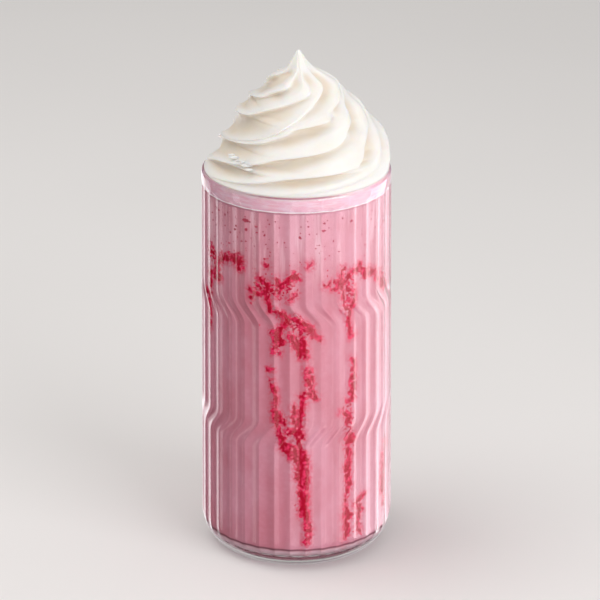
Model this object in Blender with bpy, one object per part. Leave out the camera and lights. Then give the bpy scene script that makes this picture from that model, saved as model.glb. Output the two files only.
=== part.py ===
"""A tall ribbed glass of mulberry milkshake under a piped swirl of whipped cream.

Three pieces, each a closed solid: the tumbler, the drink that fills it up to its level, and the
cream, which sits on the drink, fills the mouth and rises above the rim to a peak.
Metres, +Z up, origin on the axis at the bottom of the glass, -Y is the front.
"""

import math

import bmesh
import bpy
import numpy as np

# The tumbler
GLASS_HEIGHT = 0.157
RIM_RADIUS = 0.0368
BASE_RADIUS = 0.0382
WALL = 0.0024
LIP_WALL = 0.0020
LIP_BLEND = 0.012
FLOOR_THICKNESS = 0.0065
CAVITY_HEEL = 0.0045
HEEL_WIDTH = 0.0102
HEEL_HEIGHT = 0.0140
PUNT_RADIUS = 0.021
PUNT_EDGE = 0.003
PUNT_DEPTH = 0.0010

# Its ribs: concave flutes between sharp crests, which step sideways by one flute and back again
FLUTES = 36
COLUMNS_PER_FLUTE = 3
FLUTE_DEPTH = 0.0006
FIRST_CREST = math.radians(-4.0)
FLUTE_TOP = 0.1535
FLUTE_FADE = 0.0030
FLUTE_FOOT = 0.0040
FOOT_FADE = 0.0090
LOWER_BEND = 0.0585
UPPER_BEND = 0.1085
BEND_LENGTH = 0.0110
BEND_ROWS = 5

# The drink
FIT_GAP = 0.0003
DRINK_LEVEL = 0.1500
DRINK_COLUMNS = 60

# The cream's outline, as (height above the drink, radius to the crests, lean towards +X)
PEAK_HEIGHT = 0.2044
CREAM_OUTLINE = (
    (0.0000, 0.0343, 0.0000),
    (0.0064, 0.0344, 0.0000),
    (0.0074, 0.0359, 0.0001),
    (0.0080, 0.0360, 0.0005),
    (0.0110, 0.0356, 0.0014),
    (0.0150, 0.0345, 0.0021),
    (0.0180, 0.0332, 0.0027),
    (0.0210, 0.0315, 0.0030),
    (0.0240, 0.0290, 0.0031),
    (0.0270, 0.0267, 0.0024),
    (0.0300, 0.0253, 0.0016),
    (0.0330, 0.0230, 0.0012),
    (0.0360, 0.0193, 0.0010),
    (0.0390, 0.0161, 0.0017),
    (0.0420, 0.0137, 0.0019),
    (0.0445, 0.0100, 0.0012),
    (0.0460, 0.0069, 0.0014),
    (0.0475, 0.0050, 0.0014),
    (0.0490, 0.0038, 0.0011),
    (0.0505, 0.0027, 0.0010),
    (0.0525, 0.0016, 0.0009),
    (0.0541, 0.0005, 0.0008),
)

# Its nine piped ridges, each as (height above the drink in mm, angle of its middle, half its width in
# degrees); 0 is towards +X and -90 at the front
RIDGES = (
    ((6, -290, 4), (10, -272, 4), (20, -242, 9.5), (27, -223, 7), (32, -218, 5), (35, -201, 4.5),
     (37.5, -160, 6), (39.5, -147, 5.5), (42.5, -122, 7.5), (46, -108, 3), (54.1, -106, 2)),
    ((6, -248, 6.5), (10, -234, 2.5), (20, -212, 2.5), (26, -204, 5), (30, -184, 12), (32, -152, 3),
     (34, -138, 3), (37.5, -110, 5.5), (39.5, -97, 11.5), (43.5, -81, 5.5), (46, -86, 2), (54.1, -88, 2)),
    ((6, -228, 1), (10, -221, 0.7), (15, -204, 0.5), (20, -184, 0.9), (22, -158, 1), (25.5, -128, 1),
     (32, -99, 2), (41.5, -58, 4.5), (43.5, -49, 3.5), (46, -48, 3), (54.1, -45, 3)),
    ((6, -224, 1), (15, -200, 0.8), (20, -178, 2), (23.5, -135, 4), (25.5, -122, 4), (27.5, -109, 3.5),
     (30, -98, 4), (32.5, -71, 14), (35.5, -52, 5), (37, -38, 8.5), (41, -15, 8), (46, 0, 6), (54.1, 0, 4)),
    ((6, -210, 3), (10, -181, 1.5), (13, -168, 3.5), (17, -129, 4), (20, -112, 4), (22.5, -90, 14),
     (29.5, -50, 7.5), (36, -25, 2), (37.5, -16, 2), (42, 4, 3), (46, 40, 4), (54.1, 45, 4)),
    ((6, -185, 3), (8, -155, 3), (10.5, -126, 4), (12.5, -111, 4), (14, -98, 8), (15, -78, 17.5),
     (17, -67, 18), (18.5, -61, 15), (20, -56, 12), (22, -48, 7), (23.5, -41, 5), (25.5, -32, 5.5),
     (27, -23, 5.5), (29.5, -16, 6), (35, 0, 5), (40, 30, 5), (46, 80, 5), (54.1, 84, 4)),
    ((6, -120, 3), (8, -95, 6), (10.5, -64, 14.5), (12.5, -46, 11.5), (16.5, -31, 4.5), (22.5, -20, 3),
     (25.5, -10, 4), (35, 28, 4), (40, 68, 5), (46, 122, 5), (54.1, 126, 4)),
    ((6, -26, 3), (30, 33, 5), (35, 62, 5), (40, 90, 8), (46, 152, 12), (54.1, 166, 4)),
    ((6, 25, 4), (10, 40, 5), (25, 80, 5), (30, 108, 10), (35, 124, 10), (40, 152, 4), (46, 184, 14),
     (54.1, 210, 4)),
)
# How deep the valley after each ridge runs, as a share of the others
VALLEY_SHARES = (1.0, 1.0, 1.0, 1.0, 1.0, 1.0, 0.45, 0.8, 1.0)
RIDGE_ROUND = 0.0004
VALLEY_DEPTH = 0.0032
VALLEY_SKEW = 0.74
VALLEY_CURVE = 0.80
STEEPEST = 0.50
PEAK_START = 0.0445
PEAK_END = 0.0480
PEAK_SHARE = 0.25
ROLLS_START = 0.0066
ROLLS_EASE = 0.0045
RIDGE_STEPS = (0.0, 0.5)
VALLEY_STEPS = (0.0, 0.14, 0.34, 0.60, 0.82)
CREAM_ROWS = 38


def clear_scene():
    for item in list(bpy.data.objects):
        bpy.data.objects.remove(item, do_unlink=True)


def smooth_step(value):
    value = min(max(value, 0.0), 1.0)
    return value * value * (3.0 - 2.0 * value)


def arc(centre_r, centre_z, size_r, size_z, start, end, steps):
    """Points (radius, height) along part of an ellipse, with both ends."""
    points = []
    for step in range(steps + 1):
        angle = math.radians(start + (end - start) * step / steps)
        points.append((centre_r + size_r * math.cos(angle), centre_z + size_z * math.sin(angle)))
    return points


def make_material(name, color, roughness, transmission=0.0):
    material = bpy.data.materials.new(name)
    material.use_nodes = True
    shader = material.node_tree.nodes["Principled BSDF"]
    shader.inputs["Base Color"].default_value = (*color, 1.0)
    shader.inputs["Roughness"].default_value = roughness
    shader.inputs["Metallic"].default_value = 0.0
    shader.inputs["Transmission Weight"].default_value = transmission
    return material


def make_object(name, mesh_edit, material):
    """Turn an edited mesh into a named object, smooth except at its sharp edges."""
    bmesh.ops.remove_doubles(mesh_edit, verts=mesh_edit.verts[:], dist=1e-6)
    bmesh.ops.recalc_face_normals(mesh_edit, faces=mesh_edit.faces[:])
    mesh = bpy.data.meshes.new(name)
    mesh_edit.to_mesh(mesh)
    mesh_edit.free()
    mesh.materials.append(material)
    mesh.shade_smooth()
    mesh.set_sharp_from_angle(angle=math.radians(50.0))
    item = bpy.data.objects.new(name, mesh)
    bpy.context.scene.collection.objects.link(item)
    return item


def turn(profile, columns, start_angle=0.0):
    """Spin a profile that starts and ends on the axis into a closed turned shape."""
    mesh_edit = bmesh.new()
    direction = (math.cos(start_angle), math.sin(start_angle))
    verts = [mesh_edit.verts.new((r * direction[0], r * direction[1], z)) for r, z in profile]
    edges = [mesh_edit.edges.new(pair) for pair in zip(verts, verts[1:])]
    bmesh.ops.spin(mesh_edit, geom=verts + edges, cent=(0, 0, 0), axis=(0, 0, 1),
                   angle=math.tau, steps=columns, use_merge=True, use_duplicate=False)
    return mesh_edit


# ---------------------------------------------------------------- tumbler

def outer_radius(z):
    """The tumbler narrows a little towards its rim."""
    return BASE_RADIUS + (RIM_RADIUS - BASE_RADIUS) * z / GLASS_HEIGHT


def inner_radius(z):
    """The wall thins towards the lip."""
    thinning = smooth_step((z - GLASS_HEIGHT + LIP_BLEND) / LIP_BLEND)
    return outer_radius(z) - WALL - (LIP_WALL - WALL) * thinning


def bend_heights(middle):
    start = middle - BEND_LENGTH / 2
    return [start + BEND_LENGTH * row / BEND_ROWS for row in range(BEND_ROWS + 1)]


def glass_outside():
    """From the middle of the underside out and up to the start of the lip's rounding."""
    points = [(0.0, PUNT_DEPTH), (PUNT_RADIUS - PUNT_EDGE, PUNT_DEPTH * 0.9), (PUNT_RADIUS, 0.0)]
    points += arc(outer_radius(HEEL_HEIGHT) - HEEL_WIDTH, HEEL_HEIGHT,
                  HEEL_WIDTH, HEEL_HEIGHT, -90.0, 0.0, 5)
    heights = bend_heights(LOWER_BEND) + bend_heights(UPPER_BEND)
    heights += [FLUTE_TOP - FLUTE_FADE, FLUTE_TOP]
    return points + [(outer_radius(z), z) for z in heights]


def glass_inside(gap=0.0, top=GLASS_HEIGHT):
    """The cavity's wall from its top down to the middle of the floor, set in by a gap."""
    heel_top = FLOOR_THICKNESS + CAVITY_HEEL
    wall = [(inner_radius(z) - gap, z) for z in (top, GLASS_HEIGHT - LIP_BLEND) if z <= top]
    heel = arc(inner_radius(heel_top) - CAVITY_HEEL, heel_top,
               CAVITY_HEEL - gap, CAVITY_HEEL - gap, 0.0, -90.0, 4)
    return wall + heel + [(0.0, FLOOR_THICKNESS + gap)]


def lip():
    """A round lip between the outside and the inside."""
    radius = LIP_WALL / 2
    centre = outer_radius(GLASS_HEIGHT) - radius
    return arc(centre, GLASS_HEIGHT - radius, radius, radius, 0.0, 180.0, 4)


def cut_flutes(mesh_edit):
    """Press the flutes into the outside: its columns turn with the bends and sink between crests."""
    wall_middle = WALL / 2
    for vert in mesh_edit.verts:
        x, y, z = vert.co
        radius = math.hypot(x, y)
        outside = radius > inner_radius(z) + wall_middle or z < FLOOR_THICKNESS / 2
        if not outside or radius < PUNT_RADIUS:
            continue
        angle = math.atan2(y, x)
        place = (angle - FIRST_CREST) / math.tau * FLUTES
        across = place - math.floor(place + 1e-4)
        hollow = 4.0 * across * (1.0 - across)
        fade = smooth_step((z - FLUTE_FOOT) / FOOT_FADE) * smooth_step((FLUTE_TOP - z) / FLUTE_FADE)
        radius -= FLUTE_DEPTH * hollow * fade
        angle += flute_shift(z)
        vert.co = (radius * math.cos(angle), radius * math.sin(angle), z)


def flute_shift(z):
    """How far the flutes have stepped sideways at a height, as an angle."""
    rise = smooth_step((z - LOWER_BEND) / BEND_LENGTH + 0.5)
    fall = smooth_step((z - UPPER_BEND) / BEND_LENGTH + 0.5)
    return math.tau / FLUTES * (rise - fall)


def make_glass():
    inside = glass_inside(top=GLASS_HEIGHT - LIP_WALL)
    profile = glass_outside() + lip() + inside
    mesh_edit = turn(profile, FLUTES * COLUMNS_PER_FLUTE, FIRST_CREST)
    bmesh.ops.remove_doubles(mesh_edit, verts=mesh_edit.verts[:], dist=1e-6)
    cut_flutes(mesh_edit)
    material = make_material("clear_glass", (0.95, 0.93, 0.94), 0.05, transmission=1.0)
    return make_object("glass", mesh_edit, material)


# ---------------------------------------------------------------- drink

def make_drink():
    profile = [(0.0, DRINK_LEVEL)] + glass_inside(gap=FIT_GAP, top=DRINK_LEVEL)
    mesh_edit = turn(profile, DRINK_COLUMNS)
    material = make_material("milkshake_pink", (0.62, 0.22, 0.27), 0.35)
    return make_object("milkshake", mesh_edit, material)


# ---------------------------------------------------------------- cream

def smooth_curve(places, values):
    """A smooth curve through values at rising places, as a function of the place."""
    slopes = np.gradient(np.array(values, dtype=float), np.array(places))

    def curve(at):
        at = min(max(at, places[0]), places[-1])
        left = max(index for index in range(len(places) - 1) if places[index] <= at)
        span = places[left + 1] - places[left]
        share = (at - places[left]) / span
        rise = smooth_step(share)
        start = share * (1.0 - share) ** 2 * span * slopes[left]
        end = share * share * (1.0 - share) * span * slopes[left + 1]
        return values[left] * (1.0 - rise) + values[left + 1] * rise + start - end

    return curve


def valley_hollow(across):
    """How far the surface lies under the ridges across the valley between two of them."""
    return math.sin(math.pi * across ** VALLEY_SKEW) ** VALLEY_CURVE if across else 0.0


def cream_heights():
    """Row heights above the drink: a plain foot inside the glass, then even rows up to the peak."""
    foot = [0.0, 0.0040, ROLLS_START]
    top = PEAK_HEIGHT - DRINK_LEVEL - FIT_GAP
    return foot + [ROLLS_START + (top - ROLLS_START) * row / CREAM_ROWS for row in range(1, CREAM_ROWS + 1)]


def valley_depth(height, index, radius, ridges, width):
    """Depth of the valley after a ridge, from how far apart the ridges run on the slope."""
    step = 0.0001
    climb = sum(ridge[0](height + step) - ridge[0](height - step) for ridge in ridges[index:index + 2]) / 2
    rate = math.radians(climb) / (2 * step)
    spacing = width / math.hypot(rate, 1.0 / radius)
    peak = 1.0 - (1.0 - PEAK_SHARE) * smooth_step((height - PEAK_START) / (PEAK_END - PEAK_START))
    return min(VALLEY_DEPTH, STEEPEST * spacing) * peak * VALLEY_SHARES[index]


def cream_ring(height, outline, lean, ridges):
    """The places of one row, ridge by ridge with the valley after each."""
    radius, middle = outline(height), lean(height)
    fade = smooth_step((height - ROLLS_START) / ROLLS_EASE)
    lift = RIDGE_ROUND * min(1.0, radius / 0.010)
    ring = []
    for index in range(len(RIDGES)):
        centre, half = (math.radians(curve(height)) for curve in ridges[index])
        after, half_after = (math.radians(curve(height)) for curve in ridges[index + 1])
        width = max(after - half_after - centre - half, 0.01)
        depth = valley_depth(height, index, radius, ridges, width)
        places = [(centre + half * (2.0 * step - 1.0), lift * (2.0 * step - 1.0) ** 2)
                  for step in RIDGE_STEPS]
        places += [(centre + half + width * step, lift + depth * valley_hollow(step))
                   for step in VALLEY_STEPS]
        for turned, hollow in places:
            reach = radius - hollow * fade
            ring.append((middle + reach * math.cos(turned), reach * math.sin(turned),
                         DRINK_LEVEL + FIT_GAP + height))
    return ring


def ridge_curves():
    """The angle and the half width of each ridge over the height, and the first one again a turn on."""
    curves = []
    for ridge in RIDGES + (tuple((z, angle + 360.0, half) for z, angle, half in RIDGES[0]),):
        heights, angles, halves = zip(*ridge)
        heights = [height / 1000.0 for height in heights]
        curves.append((smooth_curve(heights, angles), smooth_curve(heights, halves)))
    return curves


def make_cream():
    """A sheet of rows and columns wrapped round the lean of the swirl, closed above and below."""
    heights, radii, leans = zip(*CREAM_OUTLINE)
    outline, lean = smooth_curve(heights, radii), smooth_curve(heights, leans)
    ridges = ridge_curves()
    mesh_edit = bmesh.new()
    rings = []
    for height in cream_heights():
        ring = cream_ring(height, outline, lean, ridges)
        rings.append([mesh_edit.verts.new(place) for place in ring])
    for low, high in zip(rings, rings[1:]):
        for index in range(len(low)):
            after = (index + 1) % len(low)
            mesh_edit.faces.new((low[index], low[after], high[after], high[index]))
    mesh_edit.faces.new(rings[0][::-1])
    mesh_edit.faces.new(rings[-1])
    bmesh.ops.triangulate(mesh_edit, faces=mesh_edit.faces[:])
    material = make_material("whipped_cream_white", (0.87, 0.84, 0.78), 0.5)
    return make_object("whipped_cream", mesh_edit, material)


def main():
    clear_scene()
    make_glass()
    make_drink()
    make_cream()


main()
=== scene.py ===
"""Dresses a ribbed glass of mulberry milkshake under a piped swirl of whipped cream.

Metres, +Z up, -Y is the front. Angles round the glass are in degrees from the front, rising towards
+X. Heights on the wall are above the foot of the glass.
"""

import math
import random

import bmesh
import bpy
import numpy as np
from bpy.props import FloatProperty, FloatVectorProperty, IntProperty, PointerProperty
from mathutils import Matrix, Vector, noise


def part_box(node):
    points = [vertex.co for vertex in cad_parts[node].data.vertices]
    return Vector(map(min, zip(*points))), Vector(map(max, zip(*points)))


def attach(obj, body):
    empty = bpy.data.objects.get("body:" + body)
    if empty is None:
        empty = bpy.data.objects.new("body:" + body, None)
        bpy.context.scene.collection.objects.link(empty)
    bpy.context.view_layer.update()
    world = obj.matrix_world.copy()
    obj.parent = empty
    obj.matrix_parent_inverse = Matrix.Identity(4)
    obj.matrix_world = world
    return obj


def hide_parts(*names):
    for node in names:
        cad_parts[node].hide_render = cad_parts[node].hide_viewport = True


bl_info = {
    "name": "Mulberry Milkshake",
    "version": (1, 0, 0),
    "blender": (4, 5, 0),
    "location": "View3D > Sidebar > Milkshake",
    "description": "Models the glass, the drink, its syrup and the whipped cream, and lights them",
    "category": "Add Mesh",
}

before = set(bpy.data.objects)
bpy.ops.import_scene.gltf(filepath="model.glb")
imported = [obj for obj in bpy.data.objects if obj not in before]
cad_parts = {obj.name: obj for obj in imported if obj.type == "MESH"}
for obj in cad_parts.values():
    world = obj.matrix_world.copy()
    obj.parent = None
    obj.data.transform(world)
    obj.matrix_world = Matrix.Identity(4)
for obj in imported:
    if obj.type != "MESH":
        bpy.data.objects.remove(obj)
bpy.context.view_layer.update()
GLASS_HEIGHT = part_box("glass")[1][2]
DRINK_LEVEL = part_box("milkshake")[1][2]
CREAM_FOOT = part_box("whipped_cream")[0][2]
PEAK_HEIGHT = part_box("whipped_cream")[1][2]
BODY = "root"
MM = 0.001

# The tumbler's section, as its solid has it
RIM_RADIUS = 0.0368
BASE_RADIUS = 0.0382
WALL = 0.0024
LIP_WALL = 0.0020
LIP_BLEND = 0.012
FLOOR_THICKNESS = 0.0065
CAVITY_HEEL = 0.0045
HEEL_WIDTH = 0.0102
HEEL_HEIGHT = 0.0140
PUNT_RADIUS = 0.021
PUNT_EDGE = 0.003
PUNT_DEPTH = 0.0010
FIRST_CREST = math.radians(-4.0)
FLUTE_TOP = 0.1535
FLUTE_FADE = 0.0030
FLUTE_FOOT = 0.0040
FOOT_FADE = 0.0090
LOWER_BEND = 0.0585
UPPER_BEND = 0.1085
BEND_LENGTH = 0.0110
# Its grid: columns to a flute, rows to a bend, the lowest straight row, how far those keep from a bend
FLUTE_COLUMNS = 12
BEND_ROWS = 18
LOWEST_ROW = 0.020
BEND_MARGIN = 0.007

# How far what fills the glass reaches into its wall, so that no air shows between them
REACH = 0.00015
SYRUP_REACH = 0.00032
SYRUP_THICKNESS = 0.00022
DRINK_COLUMNS = 360
DRINK_ROWS = 150
# The ring of foam: how far it lies over the drink's level, its radius, its waves and ripples, its columns
FOAM_LIFT = 0.0010
FOAM_RADIUS = 0.00028
FOAM_WAVE = 0.00028
FOAM_RIPPLE = 0.00012
FOAM_COLUMNS = 300

# The cream's outline above its foot: height, radius to the crests, lean towards +X
CREAM_OUTLINE = (
    (0.0062, 0.0349, 0.0000), (0.0072, 0.0360, 0.0001), (0.0080, 0.0360, 0.0005),
    (0.0110, 0.0356, 0.0014), (0.0150, 0.0345, 0.0021), (0.0180, 0.0332, 0.0027),
    (0.0210, 0.0315, 0.0030), (0.0240, 0.0290, 0.0031), (0.0270, 0.0267, 0.0024),
    (0.0300, 0.0253, 0.0016), (0.0330, 0.0230, 0.0012), (0.0360, 0.0193, 0.0010),
    (0.0390, 0.0161, 0.0017), (0.0420, 0.0137, 0.0019), (0.0445, 0.0100, 0.0012),
    (0.0460, 0.0069, 0.0014), (0.0475, 0.0050, 0.0014), (0.0490, 0.0038, 0.0011),
    (0.0505, 0.0027, 0.0010), (0.0525, 0.0016, 0.0009), (0.0541, 0.0005, 0.0008),
)
# Ridges of the piped swirl: height above the foot in mm, angle of the middle and half the width in
# degrees, where 0 is towards +X and -90 at the front
RIDGES = (
    ((6, -290, 4), (10, -272, 4), (20, -242, 9.5), (27, -223, 7), (32, -218, 5), (35, -201, 4.5),
     (37.5, -160, 6), (39.5, -147, 5.5), (42.5, -122, 7.5), (46, -108, 3), (54.1, -106, 2)),
    ((6, -248, 6.5), (10, -234, 2.5), (20, -212, 2.5), (26, -204, 5), (30, -184, 12), (32, -152, 3),
     (34, -138, 3), (37.5, -110, 5.5), (39.5, -97, 11.5), (43.5, -81, 5.5), (46, -86, 2), (54.1, -88, 2)),
    ((6, -228, 1), (10, -221, 0.7), (15, -204, 0.5), (20, -184, 0.9), (22, -158, 1), (25.5, -128, 1),
     (32, -99, 2), (41.5, -58, 4.5), (43.5, -49, 3.5), (46, -48, 3), (54.1, -45, 3)),
    ((6, -224, 1), (15, -200, 0.8), (20, -178, 2), (23.5, -135, 4), (25.5, -122, 4), (27.5, -109, 3.5),
     (30, -98, 4), (32.5, -71, 14), (35.5, -52, 5), (37, -38, 8.5), (41, -15, 8), (46, 0, 6), (54.1, 0, 4)),
    ((6, -210, 3), (10, -181, 1.5), (13, -168, 3.5), (17, -129, 4), (20, -112, 4), (22.5, -90, 14),
     (29.5, -50, 7.5), (36, -25, 2), (37.5, -16, 2), (42, 4, 3), (46, 40, 4), (54.1, 45, 4)),
    ((6, -185, 3), (8, -155, 3), (10.5, -126, 4), (12.5, -111, 4), (14, -98, 8), (15, -78, 17.5),
     (17, -67, 18), (18.5, -61, 15), (20, -56, 12), (22, -48, 7), (23.5, -41, 5), (25.5, -32, 5.5),
     (27, -23, 5.5), (29.5, -16, 6), (35, 0, 5), (40, 30, 5), (46, 80, 5), (54.1, 84, 4)),
    ((6, -120, 3), (8, -95, 6), (10.5, -64, 14.5), (12.5, -46, 11.5), (16.5, -31, 4.5), (22.5, -20, 3),
     (25.5, -10, 4), (35, 28, 4), (40, 68, 5), (46, 122, 5), (54.1, 126, 4)),
    ((6, -26, 3), (30, 33, 5), (35, 62, 5), (40, 90, 8), (46, 152, 12), (54.1, 166, 4)),
    ((6, 25, 4), (10, 40, 5), (25, 80, 5), (30, 108, 10), (35, 124, 10), (40, 152, 4), (46, 184, 14),
     (54.1, 210, 4)),
)
# How deep the valley after each ridge runs, as a share of the others
VALLEY_SHARES = (1.0, 1.0, 1.0, 1.0, 1.0, 1.0, 0.45, 0.8, 1.0)
# A ridge's rounding, in full where the outline is this wide, and a valley's depth, the depth that its
# width allows, and the skew and curve of its section
RIDGE_ROUND = 0.0004
ROUND_FROM = 0.010
VALLEY_DEPTH = 0.0032
STEEPEST = 0.50
VALLEY_SKEW = 0.74
VALLEY_CURVE = 0.80
# Where the valleys set in and over what height, and between which heights and to what share they thin out
VALLEY_FOOT = 0.0068
VALLEY_RISE = 0.0045
PEAK_FADE = (0.0445, 0.0480, 0.25)
# How far the foot dips into the drink, the grain of the soft unevenness, and where it ends under the peak
FOOT_SINK = 0.0004
SOFT_GRAIN = 0.0085
FINE_GRAIN = 0.0028
SOFT_PEAK = 0.010
# Lumps and a pit where the nozzle left the swirl uneven: angle as for the ridges, then height, size and
# push in mm
LUMPS = (
    (-86, 32.6, 1.2, 0.5), (-78, 33.4, 1.0, 0.5), (-70, 33.2, 1.4, 0.6), (-63, 34.0, 1.3, 0.7),
    (-54.5, 33.2, 1.4, -1.6), (-116, 43.8, 1.7, 0.6), (-86, 43.0, 1.6, 0.4), (-178, 28.0, 1.3, 0.6),
    (-178, 15.6, 1.5, 0.8),
)
# Crumbs left on the lowest roll: angle from the front, height above the foot, size in mm
FLECKS = (
    (-58.0, 0.0176, 1.5), (-54.0, 0.0172, 2.1), (-49.0, 0.0166, 1.1),
    (-43.0, 0.0170, 1.8), (-40.0, 0.0162, 2.4), (-37.0, 0.0150, 1.6),
)
FLECK_SINK = 0.0011

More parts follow.
